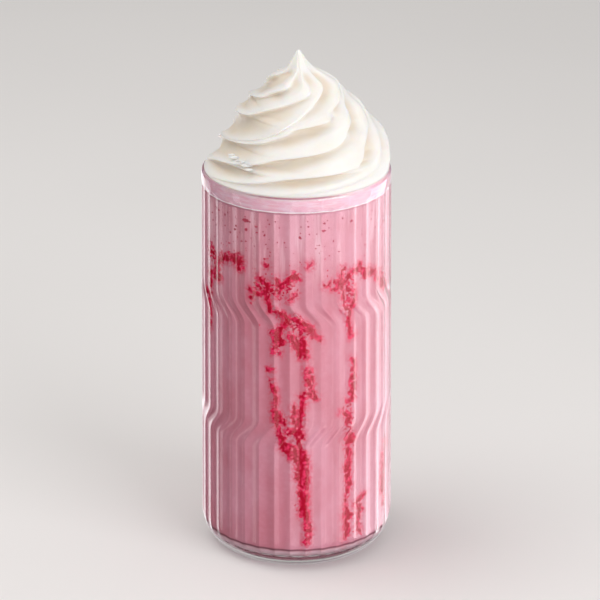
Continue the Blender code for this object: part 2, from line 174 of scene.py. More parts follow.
# Syrup on the inside of the wall: strokes of (angle, height in mm, half width in mm)
STREAKS = (
    # Left band
    ((-70, 117.5, 1), (-64, 119.3, 1.3), (-58, 119.3, 2.5)),
    ((-58, 119, 2.1), (-58.5, 124, 1.2), (-52, 127.2, 1.1), (-46, 128.5, 1.4), (-38, 129, 1.8)),
    ((-37.6, 129, 1.6), (-37.8, 126, 1.4)),
    ((-67.5, 118, 1.2), (-66.5, 113, 0.8)),
    ((-77, 109.3, 0.5), (-70, 110, 0.8), (-66, 110.5, 0.6)),
    ((-69, 107, 0.9), (-68.5, 103, 1.3), (-67.5, 98, 0.9), (-67.3, 95.5, 0.4)),
    # Centre scatter
    ((-30, 118, 0.9), (-27, 117.5, 0.8), (-22, 117, 0.7), (-20, 118, 0.8)),
    ((-29, 115, 0.9),),
    ((-24, 123.5, 0.7), (-21, 122, 0.8), (-18, 120.8, 1.4)),
    ((-18, 120.5, 1.2), (-19, 116, 0.8), (-17.5, 113, 1), (-16.5, 111.5, 0.9)),
    ((-12, 123.5, 0.6), (-11, 121, 0.7), (-8, 122, 0.5), (-4, 123.5, 1.1), (-1, 126, 1.2), (1, 124, 1)),
    ((-4.5, 115.5, 0.8), (-2, 116.5, 0.5), (0, 118, 0.4)),
    ((-13, 117, 0.5), (-10.5, 115.8, 0.5)),
    ((-19, 129, 0.9),),
    ((8, 129.2, 0.9), (9.6, 130.2, 0.4)),
    # Centre crown
    ((-16.5, 110.5, 0.6), (-11, 110.3, 0.8), (-8, 109, 1), (-5, 107.5, 0.9), (-1, 107.8, 0.9)),
    ((-1, 107.8, 0.8), (3, 106.3, 0.7), (6, 105, 0.8), (8.5, 103.5, 1.6), (11, 100.6, 1.2), (15, 99, 0.5)),
    ((-5, 106.8, 0.8), (-9, 104, 1.2), (-12, 102, 1.3), (-15, 102, 0.8)),
    ((-12, 101, 1.7), (-11, 98.5, 2.3), (-9, 98, 1.4)),
    ((-12.5, 97, 1), (-13.5, 93.5, 0.9)),
    ((-13, 93.2, 0.6), (-10.5, 93.4, 0.7)),
    ((-3, 100.5, 1.1), (-1.5, 99, 1.7), (1.5, 96, 2.1), (3.5, 98.5, 1.5)),
    ((2, 95.5, 1.6), (2.5, 92, 1)),
    ((4, 99, 1.2), (5.5, 95, 1), (5.8, 91.5, 0.8)),
    # Centre branches
    ((-17, 86.2, 0.8), (-15.5, 86.4, 0.6)),
    ((-16, 81.8, 0.6),),
    ((-15.5, 80.3, 0.4), (-13.5, 78, 0.7), (-13, 73, 0.6), (-13.8, 70.5, 0.8)),
    ((6, 87, 0.6), (8, 85.3, 0.8), (6, 84.5, 0.7), (7.5, 80.5, 0.6), (10, 77, 0.8), (11, 74.5, 0.8)),
    ((11, 74.5, 0.7), (13, 74, 0.5)),
    ((9.5, 86, 0.4), (10.5, 80, 0.4)),
    ((2.5, 75.3, 0.5), (6, 76.3, 1), (9, 75.8, 1.1)),
    ((5, 75.5, 0.9), (4, 72, 1), (2.5, 68.5, 1.3), (2, 66, 1.1)),
    ((-1.5, 71.5, 0.4), (-1.5, 67, 0.9), (-2, 64.5, 0.8)),
    ((2, 67, 1.1), (1, 62, 1.4), (0.5, 60, 1.5)),
    # Centre knot
    ((-13.5, 69, 1.1), (-12, 67, 1.6), (-10, 65.5, 1.7), (-7.5, 64, 0.8)),
    ((-13.5, 66, 0.8), (-11, 61, 0.7), (-10, 58, 0.7)),
    ((-5.5, 60.5, 1.1), (-1.5, 60.8, 1.4), (2.5, 60.3, 1.1), (3.5, 58, 0.8)),
    ((-9.5, 58.5, 0.9), (-8, 55, 1.7), (-6, 54, 1.9), (-3, 53.5, 1.3), (0, 52, 1.6)),
    ((-9.5, 54, 0.8), (-5, 51.5, 1), (-2.5, 49.5, 1), (0, 48, 1)),
    ((1, 57, 0.9), (2, 53.5, 0.9), (3, 50, 1.6), (3.5, 47, 2)),
    ((5.5, 51.5, 0.7), (6, 48.5, 0.8), (6.5, 45.5, 0.6), (7, 43, 0.5)),
    # Centre tail
    ((1, 46.5, 0.9), (0.8, 43, 0.9), (0.5, 41, 1), (3, 40.3, 1.2), (5.5, 40.5, 0.8)),
    ((6.5, 46, 0.6), (6, 41, 0.8), (6, 35, 0.8), (5.8, 29, 0.8), (6, 25, 0.9)),
    ((3.5, 47, 1.2), (3.6, 43, 1), (2.5, 38, 1), (4, 36.5, 0.7)),
    ((3, 34.5, 1.5), (4, 32.5, 1.1), (3.5, 31, 0.9), (3, 27.5, 1.2), (3.5, 25, 1.1)),
    ((4, 28.5, 1), (6, 26, 1), (6.5, 21.5, 0.9), (7.5, 18, 1.2), (7, 15, 0.9), (6, 12.8, 0.8)),
    # Right crown
    ((18, 120.5, 0.5), (22, 121.5, 0.6), (26, 121.3, 0.8), (29, 121.2, 1), (31.5, 121.6, 0.9)),
    ((23, 118.7, 0.5), (27, 119, 0.7), (29, 119.3, 0.8)),
    ((30.5, 126.5, 0.7), (28.7, 125.5, 0.7), (29, 121, 0.9), (30, 117, 0.5), (31, 110, 0.5),
     (34, 109, 0.7)),
    ((31.5, 121.5, 0.8), (35, 123, 0.9), (38.5, 124.8, 1.1), (41, 124.5, 1), (43, 126.5, 1)),
    ((43.5, 125.5, 0.9), (46, 122.8, 1.1), (49, 121.3, 1.4), (52, 121.3, 1.6), (57.5, 121.5, 0.9)),
    ((48, 124, 0.8), (52, 123, 0.9)),
    ((58, 120, 0.6), (59, 117.8, 0.7), (62, 116.5, 1.3), (66, 115, 1.7), (68, 113.5, 1.4), (75, 112, 0.9)),
    ((38.3, 118.5, 0.5), (38.8, 114, 0.7), (37.5, 110.5, 0.7), (35, 109, 0.7), (34.8, 106.5, 0.7)),
    # Right stream
    ((34.8, 108, 0.8), (34.5, 104.5, 0.8), (35, 100.5, 1), (35.5, 97.5, 0.6), (38.5, 98.3, 0.4)),
    ((36.5, 88.5, 0.3), (38.5, 87, 0.6), (38, 84, 0.6), (38, 80, 1.3), (37.5, 77.5, 1.5), (38, 75.5, 1.2)),
    ((36.5, 74.5, 0.9), (38, 72, 0.9), (35.5, 71, 1), (33.5, 71.3, 0.6)),
    ((28.5, 67, 0.5), (31, 66, 0.6), (33, 65, 1.1), (35, 65, 1), (34.5, 62.5, 0.8)),
    ((33.5, 54.5, 1.6), (36, 54.8, 2.1)),
    ((34, 51, 0.9), (34.5, 48, 1), (35, 45, 1.1), (33, 43.5, 1.5), (33, 42, 1.6)),
    ((34, 41, 1.1), (34, 38, 1.3), (34.5, 35.5, 1.1), (33.5, 33, 0.9), (32, 30, 0.6), (32, 27, 0.6)),
    ((31.5, 25.5, 1), (33, 23, 1.5), (34.5, 21.5, 1.5)),
    ((31, 22.5, 1), (31.5, 19.5, 1.1), (32.5, 17.5, 1.6), (33.5, 15, 1.5), (31.5, 13, 0.8)),
    # Right edge
    ((39.5, 26.3, 0.8), (42, 27, 0.9), (45, 28.3, 0.8), (47.5, 28.8, 0.4)),
    ((41, 25.5, 1), (43, 24, 1.1), (45, 22.5, 0.7)),
    ((42, 23, 0.8), (41.5, 19, 0.7), (41, 15, 0.7), (44, 13.5, 0.7)),
    ((71, 46, 0.9), (73, 44, 1.2), (69, 42, 0.8), (68.5, 36, 1), (67.5, 30, 1.5), (67, 26, 1.6)),
    ((69.5, 22, 0.7), (69, 19.5, 0.6)),
)
# Soft stains in the drink round the syrup, and droplets, in the same measures
FAINT = (
    ((-66, 128, 4), (-60, 126, 3), (-48, 130, 1.5), (-38, 131, 1.5)),
    ((-24, 120, 2.5), (-15, 119, 3), (-6, 121, 3)),
    ((-8, 108, 2), (2, 103, 3), (8, 104, 2)),
    ((34, 120, 2.5), (34.5, 112, 2.5)),
    ((3, 45, 2), (4, 36, 1.5), (5, 26, 1.5)),
    ((42, 26, 1.5), (42.5, 14, 1.8)),
    ((33, 70, 2), (34, 50, 2), (33, 30, 1.5)),
    ((64, 120, 2), (72, 114, 2)),
    ((66, 40, 1.5), (66, 26, 2)),
)
DROPLETS = (
    (-58, 147, 0.6), (-50, 145.7, 0.5), (-41, 146.2, 0.3), (-34, 146, 0.8), (-32, 145.9, 0.7),
    (-30, 145.6, 0.4), (-25.5, 144.2, 0.5), (-40.5, 142.7, 0.5), (-33, 142.2, 0.7), (-41.5, 141.1, 0.5),
    (-50, 141.2, 0.4), (-25, 141.9, 0.35), (-21, 142.5, 0.3), (-20, 141.2, 0.45), (-59, 139.8, 0.5),
    (2.8, 142.7, 0.35), (2.3, 141, 0.55), (17.3, 146.2, 0.45), (17, 143.2, 0.55), (20.5, 144.2, 0.35),
    (36.5, 145.2, 0.5), (-19, 137.5, 0.35), (-16, 134.6, 0.3), (-12, 138.8, 0.3), (-6, 137, 0.3),
    (-20, 131.5, 0.5), (-2, 134.5, 0.25), (-29, 112.5, 0.5), (-23.5, 104, 0.35), (-26, 127, 0.3),
    (13, 137.5, 0.3), (27, 134, 0.3), (45, 138.5, 0.35),
)
# The same strokes again round the back: turned, stretched and, above this height, dropped
BACK_TURN = 192.0
BACK_STRETCH = 0.85
BACK_DROP = 4.0
BACK_DROP_FROM = 40.0
# The field over the unrolled wall, in mm: where it starts, the height whose radius it is unrolled at, its
# step, its ends, how far a stroke reaches in it, what it holds elsewhere and the least slope of its outline
SEAM_ANGLE = -90.0
UNROLL_HEIGHT = 0.08
FIELD_STEP = 0.29
FIELD_TOP = 148.0
FIELD_FOOT = 10.5
FIELD_MARGIN = 4.0
FAR = 9.0
LEAST_SLOPE = 0.3
# Noise that breaks the strokes up: its grain across and up in mm, and which slice of it is read
BROAD = (2.1, 2.6, 3.0)
FINE = (0.90, 1.05, 9.0)
GRAIN = (0.42, 0.50, 17.0)
HOLES = (1.2, 1.7, 27.0)
# Seeds: how high they reach and over how far they thin out in mm, how fast, and their half widths
SEED_TOP = 147.5
SEED_SPAN = 30.0
SEED_THINNING = 1.7
SEED_SIZES = (0.14, 0.38)
# The drink's stain: its strength, where it starts to fade and over what distance, in mm
NEAR_STAIN = (0.9, 0.3, 1.5)
SOFT_STAIN = (0.38, 1.0, 2.5)

# Colours beside those in the settings
# Painted light: the pale pink that the drink's foot is lightened to, standing in for light through the base
PAINTED_FOOT_LIGHT = (0.95, 0.68, 0.76)
MILKY_DRIPS = (0.92, 0.60, 0.68)
# Painted shade: the colour of a dark line along the drink's foot, where it curves away behind the base
FOOT_SHADE_LINE = (0.24, 0.07, 0.10)
HIGH_SYRUP = (0.44, 0.10, 0.14)
FOAM_PINK = (1.0, 0.86, 0.90)
FOAM_WHITE = (1.0, 0.97, 0.98)
MILKY_FILM = (0.95, 0.70, 0.79)
DRINK_EDGE = (0.72, 0.30, 0.38)
RIM_SHADOW = (0.45, 0.10, 0.20)
# Heights between which the upper syrup dulls, the drips set in and the painted light on the drink's foot
# ends, and between which the painted shade line there starts and ends
DULL_SYRUP = (0.126, 0.138)
DRIP_HEIGHTS = (0.112, 0.142)
FOOT_LIGHT_HEIGHTS = (0.0080, 0.0100)
FOOT_SHADE_START = (0.0088, 0.0092)
FOOT_SHADE_END = (0.0097, 0.0101)

# Panels that only show in the glass's gloss: name, azimuth, elevation, width, height, share of the key
# light's power, colour
REFLECTORS = (
    ("right_reflector", 14.0, -20.0, 0.58, 0.6, 0.24, (1.0, 0.97, 1.0)),
    ("right_reflector", 48.0, -20.0, 0.58, 0.6, 0.24, (1.0, 0.97, 1.0)),
    ("right_reflector", 84.0, -20.0, 0.58, 0.6, 0.46, (1.0, 0.97, 1.0)),
    ("right_reflector", 120.0, -20.0, 0.58, 0.6, 0.70, (1.0, 0.97, 1.0)),
    ("back_reflector", 180.0, -44.0, 1.4, 1.1, 0.85, (1.0, 0.97, 0.98)),
    ("left_strip", -76.0, -20.0, 0.16, 0.6, 0.10, (1.0, 0.95, 0.96)),
    ("left_reflector", -150.0, -20.0, 0.8, 0.5, 0.26, (1.0, 0.95, 0.97)),
)
LIGHT_DISTANCE = 0.9
LIGHT_AIM = 0.11
ROOM_COLOR = (1.0, 0.975, 0.945, 1.0)
ROOM_STRENGTH = 0.55


# ---- shader maths

class Wire:
    """One output of a shader node; arithmetic on it adds Math nodes."""

    def __init__(self, finish, output):
        self.finish = finish
        self.output = output

    def __add__(self, other):
        return self.finish.math("ADD", self, other)

    def __sub__(self, other):
        return self.finish.math("SUBTRACT", self, other)

    def __rsub__(self, other):
        return self.finish.math("SUBTRACT", other, self)

    def __mul__(self, other):
        return self.finish.math("MULTIPLY", self, other)

    __radd__ = __add__
    __rmul__ = __mul__


class Finish:
    """A node material being put together."""

    def __init__(self, name):
        self.material = bpy.data.materials.new(name)
        self.material.use_nodes = True
        self.tree = self.material.node_tree
        self.tree.nodes.clear()

    def node(self, kind, settings=None, inputs=None, output=0):
        """Add a shader node: its settings first, then the values or wires of its sockets."""
        made = self.tree.nodes.new("ShaderNode" + kind)
        for name, value in (settings or {}).items():
            setattr(made, name, value)
        for key, value in (inputs or {}).items():
            if isinstance(value, Wire):
                self.tree.links.new(value.output, made.inputs[key])
            else:
                made.inputs[key].default_value = value
        return Wire(self, made.outputs[output]) if made.outputs else None

    def math(self, operation, first, second=0.0):
        return self.node("Math", {"operation": operation}, {0: first, 1: second})

    def clamp(self, value):
        return self.node("Clamp", None, {"Value": value})

    def between(self, value, low, high):
        """0 below low, 1 above high and a smooth rise between."""
        inputs = {"Value": value, "From Min": low, "From Max": high}
        return self.node("MapRange", {"interpolation_type": "SMOOTHSTEP"}, inputs)

    def mix(self, share, first, second):
        """One colour turning into another."""
        first, second = (color if isinstance(color, Wire) else (*color, 1.0) for color in (first, second))
        return self.node("Mix", {"data_type": "RGBA"}, {0: share, 6: first, 7: second}, 2)

    def place(self):
        """Object coordinates in metres."""
        return self.node("TexCoord", output=3)

    def height(self):
        return self.node("SeparateXYZ", None, {"Vector": self.place()}, 2)

    def noise(self, grain, detail=3.0, stretch=(1.0, 1.0, 1.0), roughness=0.55):
        """Noise from 0 to 1 with a grain in metres."""
        where = self.node("Mapping", None, {"Vector": self.place(), "Scale": stretch})
        inputs = {"Vector": where, "Scale": 1.0 / grain, "Detail": detail, "Roughness": roughness}
        return self.node("TexNoise", None, inputs)

    def attribute(self, name):
        return self.node("Attribute", {"attribute_name": name}, output=2)

    def ribs(self, flutes, crest_round):
        """The height of the glass's flutes over this point, from 0 on a crest down to -1."""
        apart = self.node("SeparateXYZ", None, {"Vector": self.place()})
        x, y, z = (Wire(self, output) for output in apart.output.node.outputs)
        rise = self.between(z, LOWER_BEND - BEND_LENGTH / 2, LOWER_BEND + BEND_LENGTH / 2)
        fall = self.between(z, UPPER_BEND - BEND_LENGTH / 2, UPPER_BEND + BEND_LENGTH / 2)
        angle = self.math("ARCTAN2", y, x) - FIRST_CREST
        phase = angle * (flutes / 2) - (rise - fall) * math.pi
        swing = self.math("SINE", phase)
        soft = self.math("SQRT", swing * swing + crest_round ** 2)
        return 0.0 - soft * (1.0 / math.sqrt(1 + crest_round ** 2))

    def bump(self, height, strength, distance):
        inputs = {"Height": height, "Strength": strength, "Distance": distance}
        return self.node("Bump", None, inputs)

    def finish(self, inputs):
        """Close the material with a Principled shader."""
        shader = self.node("BsdfPrincipled", None, inputs)
        self.node("OutputMaterial", None, {"Surface": shader})
        return self.material


# ---- settings

def color_of(name, description, default):
    """A colour that a user may change."""
    return FloatVectorProperty(name=name, description=description, default=default, size=3, subtype="COLOR")


def length_of(name, description, default):
    """A length in metres that a user may change."""
    return FloatProperty(name=name, description=description, default=default, subtype="DISTANCE",
                         unit="LENGTH")


class GlassSettings(bpy.types.PropertyGroup):
    """What a user would change on the tumbler."""

    flutes: IntProperty(name="Flutes", description="Flutes round the glass", default=36, min=8)
    flute_depth: length_of("Flute depth", "Depth of a flute between its crests", 0.0006)
    crest_round: FloatProperty(name="Crest rounding", description="How soft the crests between flutes are",
                               default=0.10, subtype="FACTOR")
    tint: color_of("Tint", "Colour of the clear glass", (0.99, 0.985, 0.99))


class DrinkSettings(bpy.types.PropertyGroup):
    """What a user would change on the drink and its syrup."""

    pink: color_of("Pink", "Colour of the milkshake", (0.69, 0.265, 0.34))
    pale: color_of("Pale pink", "Colour of its milkier clouds", (0.81, 0.43, 0.545))
    stain: color_of("Stain", "Colour of the drink round the syrup", (0.74, 0.14, 0.22))
    syrup: color_of("Syrup", "Colour of thick mulberry syrup", (0.47, 0.001, 0.028))
    thin_syrup: color_of("Thin syrup", "Colour of the syrup at its edges", (0.84, 0.045, 0.15))
    seeds: IntProperty(name="Seeds", description="Fine dark specks in the upper half", default=340, min=0)


class CreamSettings(bpy.types.PropertyGroup):
    """What a user would change on the whipped cream."""

    white: color_of("White", "Colour of the cream", (0.88, 0.87, 0.85))
    # Painted shade: the darker, warmer colour that the cream is painted towards deep in its creases
    painted_crease_shade: color_of("Crease", "Colour of the cream deep in its creases", (0.79, 0.69, 0.56))
    film: color_of("Film", "Colour of cream stained by the drink at the wall", (0.90, 0.53, 0.64))
    lumps: length_of("Lumps", "Height of the cream's soft unevenness", 0.0004)


class StageSettings(bpy.types.PropertyGroup):
    """The camera's place and the strength of the lights."""

    elevation: FloatProperty(name="Elevation", description="Height of the camera above the horizon",
                             default=math.radians(22.0), subtype="ANGLE", unit="ROTATION")
    distance: length_of("Distance", "Distance from the camera to the glass", 1.3)
    lens: FloatProperty(name="Lens", description="Focal length of the camera in millimetres",
                        default=198.0, subtype="DISTANCE_CAMERA")
    aim_height: length_of("Aim height", "Height that the camera looks at", 0.1012)
    aim_side: length_of("Aim side", "How far right of the axis the camera looks", 0.0014)
    key: FloatProperty(name="Key light", description="Power of the soft light on the right",
                       default=4.4, unit="POWER")


# ---- shapes

def smooth_step(value):
    value = np.clip(value, 0.0, 1.0)
    return value * value * (3.0 - 2.0 * value)


def smooth_curve(places, values):
    """A smooth curve through values at rising places, as a function of the place."""
    places, values = np.array(places), np.array(values)
    slopes = np.gradient(values, places)

    def curve(at):
        at = np.clip(at, places[0], places[-1])
        left = np.clip(np.searchsorted(places, at, side="right") - 1, 0, len(places) - 2)
        span = places[left + 1] - places[left]
        share = (at - places[left]) / span
        rise = share * share * (3.0 - 2.0 * share)
        start = share * (1.0 - share) ** 2 * span * slopes[left]
        end = share * share * (1.0 - share) * span * slopes[left + 1]
        return values[left] * (1.0 - rise) + values[left + 1] * rise + start - end

    return curve


def arc(centre_r, centre_z, size_r, size_z, start, end, steps):
    """Points (radius, height) along part of an ellipse, with both ends."""
    points = []
    for step in range(steps + 1):
        angle = math.radians(start + (end - start) * step / steps)
        points.append((centre_r + size_r * math.cos(angle), centre_z + size_z * math.sin(angle)))
    return points


def even(start, end, steps):
    return [start + (end - start) * step / steps for step in range(steps + 1)]


def places_of(mesh_edit):
    return np.array([vert.co[:] for vert in mesh_edit.verts])


def put(mesh_edit, places):
    for vert, place in zip(mesh_edit.verts, places):
        vert.co = place


def flat_grid(columns, rows):
    """A grid to be shaped by a formula, with the column and the row of each of its points."""
    mesh_edit = bmesh.new()
    bmesh.ops.create_grid(mesh_edit, x_segments=columns, y_segments=rows, size=0.5)
    x, y, _ = places_of(mesh_edit).T
    column = np.rint((x + 0.5) * columns).astype(int)
    row = np.rint((y + 0.5) * rows).astype(int)
    return mesh_edit, column, row


def around(radius, angle, height):
    """Places round the axis, one row for each."""
    return np.stack((radius * np.cos(angle), radius * np.sin(angle), height), 1)


def store(mesh_edit, name, values):
    """Give every point a number that the material reads as an attribute."""
    layer = mesh_edit.verts.layers.float.new(name)
    for vert, value in zip(mesh_edit.verts, values):
        vert[layer] = value


def weld(mesh_edit):
    bmesh.ops.remove_doubles(mesh_edit, verts=mesh_edit.verts[:], dist=1e-7)


def turn(profile, columns, start_angle=0.0):
    """Wrap a grid round the axis along a profile of (radius, height)."""
    mesh_edit, column, row = flat_grid(columns, len(profile) - 1)
    radius, height = np.array(profile)[row].T
    angle = start_angle + math.tau * (column % columns) / columns
    put(mesh_edit, around(radius, angle, height))
    weld(mesh_edit)
    return mesh_edit


def add_object(name, data):
    added = bpy.data.objects.new(name, data)
    bpy.context.scene.collection.objects.link(added)
    return added


def add_mesh(name, mesh_edit, material):
    mesh = bpy.data.meshes.new(name)
    mesh_edit.to_mesh(mesh)
    mesh_edit.free()
    mesh.materials.append(material)
    return add_object(name, mesh)


def make_piece(name, mesh_edit, material, node=None, sharp=40.0):
    """Turn an edited mesh into a piece that rides with the glass."""
    bmesh.ops.recalc_face_normals(mesh_edit, faces=mesh_edit.faces[:])
    piece = add_mesh(name, mesh_edit, material)
    piece.data.shade_smooth()
    piece.data.set_sharp_from_angle(angle=math.radians(sharp))
    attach(piece, BODY)
    if node:
        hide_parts(node)
    return piece


# ---- tumbler

def outer_radius(z):
    return BASE_RADIUS + (RIM_RADIUS - BASE_RADIUS) * z / GLASS_HEIGHT


def inner_radius(z):
    thinning = smooth_step((z - GLASS_HEIGHT + LIP_BLEND) / LIP_BLEND)
    return outer_radius(z) - WALL - (LIP_WALL - WALL) * thinning


def glass_outside():
    """From the middle of the underside out and up to the foot of the lip's rounding."""
    hollow = [(0.0, PUNT_DEPTH)]
    for radius in even(PUNT_RADIUS - PUNT_EDGE, PUNT_RADIUS, 6):
        hollow.append((radius, PUNT_DEPTH * (1.0 - smooth_step((radius - PUNT_RADIUS) / PUNT_EDGE + 1.0))))
    heel = arc(outer_radius(HEEL_HEIGHT) - HEEL_WIDTH, HEEL_HEIGHT, HEEL_WIDTH, HEEL_HEIGHT, -90.0, 0.0, 16)
    fade_foot = FLUTE_TOP - FLUTE_FADE
    heights = even(LOWEST_ROW, LOWER_BEND - BEND_MARGIN, 4)
    for bend, next_stop in ((LOWER_BEND, UPPER_BEND - BEND_MARGIN), (UPPER_BEND, fade_foot)):
        heights += even(bend - BEND_LENGTH / 2, bend + BEND_LENGTH / 2, BEND_ROWS)
        heights += even(bend + BEND_MARGIN, next_stop, 4)
    heights += even(fade_foot, FLUTE_TOP, 6)[1:]
    return hollow + heel + [(outer_radius(z), z) for z in heights]


def glass_inside(top, rows, reach=0.0):
    """The cavity's wall from its top down to the middle of the floor, pushed into the glass by reach."""
    heel_top = FLOOR_THICKNESS + CAVITY_HEEL
    wall = [(inner_radius(z) + reach, z) for z in even(top, heel_top, rows)[:-1]]
    heel = arc(inner_radius(heel_top) - CAVITY_HEEL, heel_top,
               CAVITY_HEEL + reach, CAVITY_HEEL + reach, 0.0, -90.0, 12)
    return wall + heel + [(0.0, FLOOR_THICKNESS - reach)]


def glass_lip():
    radius = LIP_WALL / 2
    centre = RIM_RADIUS - radius
    return arc(centre, GLASS_HEIGHT - radius, radius, radius, 0.0, 180.0, 14)


def flute_shift(z, flutes):
    """How far the flutes have stepped sideways at a height."""
    rise = smooth_step((z - LOWER_BEND) / BEND_LENGTH + 0.5)
    fall = smooth_step((z - UPPER_BEND) / BEND_LENGTH + 0.5)
    return math.tau / flutes * (rise - fall)


def flute_hollow(angle, flutes, crest_round):
    """0 on a crest and 1 in the middle of a flute, with a softened crest."""
    swing = np.sin((angle - FIRST_CREST) * flutes / 2)
    deepest = math.sqrt(1 + crest_round ** 2) - crest_round
    return (np.sqrt(swing * swing + crest_round ** 2) - crest_round) / deepest


def glass_mesh(settings):
    profile = glass_outside() + glass_lip() + glass_inside(GLASS_HEIGHT - LIP_WALL, 14)
    mesh_edit = turn(profile, settings.flutes * FLUTE_COLUMNS, FIRST_CREST)
    x, y, z = places_of(mesh_edit).T
    radius, angle = np.hypot(x, y), np.arctan2(y, x)
    outside = (radius > inner_radius(z) + WALL / 2) | (z < FLOOR_THICKNESS / 2)
    outside &= radius > PUNT_RADIUS
    fade = smooth_step((z - FLUTE_FOOT) / FOOT_FADE) * smooth_step((FLUTE_TOP - z) / FLUTE_FADE)
    cut = settings.flute_depth * flute_hollow(angle, settings.flutes, settings.crest_round) * fade
    radius = np.where(outside, radius - cut, radius)
    angle = np.where(outside, angle + flute_shift(z, settings.flutes), angle)
    put(mesh_edit, around(radius, angle, z))
    return mesh_edit


def clear_glass(settings):
    """Pressed glass: clear, faintly wavy from its mould, and a little softer where it is ribbed."""
    finish = Finish("clear_pressed_glass")
    waves = finish.noise(0.011, 2.0)
    height = finish.height()
    plain_top = finish.between(height, FLUTE_TOP - FLUTE_FADE, FLUTE_TOP)
    ribbed = finish.between(height, FLUTE_FOOT, HEEL_HEIGHT) - plain_top
    return finish.finish({
        "Base Color": (*settings.tint, 1.0),
        "Roughness": ribbed * 0.10 + 0.02,
        "IOR": 1.5,
        "Transmission Weight": 1.0,
        "Coat Weight": 0.4,
        "Coat Roughness": 0.17,
        "Normal": finish.bump(waves, 0.12, 0.0004),
    })


# ---- syrup

def with_back(strokes):
    """The strokes at the front, and the same hand again round the back."""
    back = [tuple((BACK_TURN + BACK_STRETCH * angle, height - BACK_DROP * (height > BACK_DROP_FROM), width)
                  for angle, height, width in stroke) for stroke in strokes]
    return list(strokes) + back


def seed_strokes(settings):
    """Fine dark seeds and droplets in the upper half."""
    draw = random.Random(11)
    seeds = []
    for _ in range(settings.seeds):
        height = SEED_TOP - SEED_SPAN * draw.random() ** SEED_THINNING
        seeds.append(((draw.uniform(SEAM_ANGLE, SEAM_ANGLE + 360.0), height, draw.uniform(*SEED_SIZES)),))
    return seeds + with_back([(drop,) for drop in DROPLETS])


def wall_arc(angle):
    """Degrees round the glass as millimetres along its inner wall."""
    return np.radians(angle) * inner_radius(UNROLL_HEIGHT) / MM


def stamp(field, across, up, start, end):
    """Lower a field of distances to what one stretch of a stroke gives."""
    (s0, z0, w0), (s1, z1, w1) = start, end
    margin = max(w0, w1) + FIELD_MARGIN
    columns = slice(*np.searchsorted(across, (min(s0, s1) - margin, max(s0, s1) + margin)))
    rows = slice(*np.searchsorted(up, (min(z0, z1) - margin, max(z0, z1) + margin)))
    s, z = across[columns][:, None], up[rows][None, :]
    length = (s1 - s0) ** 2 + (z1 - z0) ** 2
    share = np.clip(((s - s0) * (s1 - s0) + (z - z0) * (z1 - z0)) / max(length, 1e-9), 0.0, 1.0)
    reach = np.hypot(s - s0 - share * (s1 - s0), z - z0 - share * (z1 - z0)) - w0 - share * (w1 - w0)
    field[columns, rows] = np.minimum(field[columns, rows], reach)


def stroke_field(strokes):
    """Distances in millimetres to the edge of the nearest stroke, over the unrolled inner wall."""
    across = np.arange(wall_arc(SEAM_ANGLE), wall_arc(SEAM_ANGLE + 360.0), FIELD_STEP)
    up = np.arange(FIELD_FOOT, FIELD_TOP, FIELD_STEP)
    field = np.full((len(across), len(up)), FAR)
    for stroke in strokes:
        points = [(wall_arc(angle), height, width) for angle, height, width in stroke]
        for start, end in zip(points, points[1:] or points):
            stamp(field, across, up, start, end)
    return across, up, field


def lace_noise(s, z, grain):
    across, up, at = grain
    return noise.noise(Vector((s / across, z / up, at)))


def ragged(across, up, streaks, faint, seeds):
    """Break the strokes up into the lace that syrup runs in; below 0 there is syrup."""
    lace = np.full(streaks.shape, FAR)
    # Syrup is looked for near the strokes alone
    for i, j in np.argwhere((streaks < 1.6) | (faint < 0.6) | (seeds < 0.6)):
        s, z = across[i], up[j]
        fine = lace_noise(s, z, FINE)
        grain = lace_noise(s, z, GRAIN)
        run = streaks[i, j] - 0.12 + 0.75 * lace_noise(s, z, BROAD) + 0.95 * fine + 0.65 * grain
        holes = -0.75 - 1.6 * lace_noise(s, z, HOLES) - 0.7 * grain
        scatter = 0.40 + 0.25 * faint[i, j] + 1.5 * fine + 0.8 * grain
        drop = seeds[i, j] + 0.25 * grain
        lace[i, j] = min(max(run, holes), scatter, drop)
    return lace


def syrup_mesh(across, up, field):
    """A film of syrup on the wall wherever the field is below 0, its edge drawn onto the outline."""
    mesh_edit, i, j = flat_grid(len(across) - 1, len(up) - 1)
    depth = field[i, j]
    slope_s, slope_z = np.gradient(field, FIELD_STEP)
    steep = np.maximum(slope_s[i, j] ** 2 + slope_z[i, j] ** 2, LEAST_SLOPE)
    pull = np.where(depth > 0.0, np.minimum(depth, FIELD_STEP), 0.0) / steep
    height = (up[j] - pull * slope_z[i, j]) * MM
    angle = (across[i] - pull * slope_s[i, j]) * MM / inner_radius(UNROLL_HEIGHT) - math.pi / 2
    put(mesh_edit, around(inner_radius(height) + SYRUP_REACH, angle, height))
    store(mesh_edit, "thickness", np.maximum(-depth, 0.0))
    inside = {index for index, value in enumerate(depth) if value < 0.0}
    mesh_edit.verts.index_update()
    off = [face for face in mesh_edit.faces if sum(v.index in inside for v in face.verts) < 2]
    bmesh.ops.delete(mesh_edit, geom=off, context="FACES")
    loose = [vert for vert in mesh_edit.verts if not vert.link_faces]
    bmesh.ops.delete(mesh_edit, geom=loose, context="VERTS")
    bmesh.ops.recalc_face_normals(mesh_edit, faces=mesh_edit.faces[:])
    return mesh_edit


def thicken(mesh_edit):
    """Give a film its thickness, towards the middle of the glass, and its faces a lasting order."""
    film = mesh_edit.faces[:]
    made = bmesh.ops.extrude_face_region(mesh_edit, geom=film, use_keep_orig=True)
    for vert in (item for item in made["geom"] if isinstance(item, bmesh.types.BMVert)):
        length = math.hypot(vert.co.x, vert.co.y)
        vert.co.x *= 1.0 - SYRUP_THICKNESS / length
        vert.co.y *= 1.0 - SYRUP_THICKNESS / length
    mesh_edit.verts.index_update()
    count = len(mesh_edit.verts)

    def rank(face):
        first, second, third = sorted(vert.index for vert in face.verts)[:3]
        return (first * count + second) * count + third

    mesh_edit.faces.sort(key=rank)


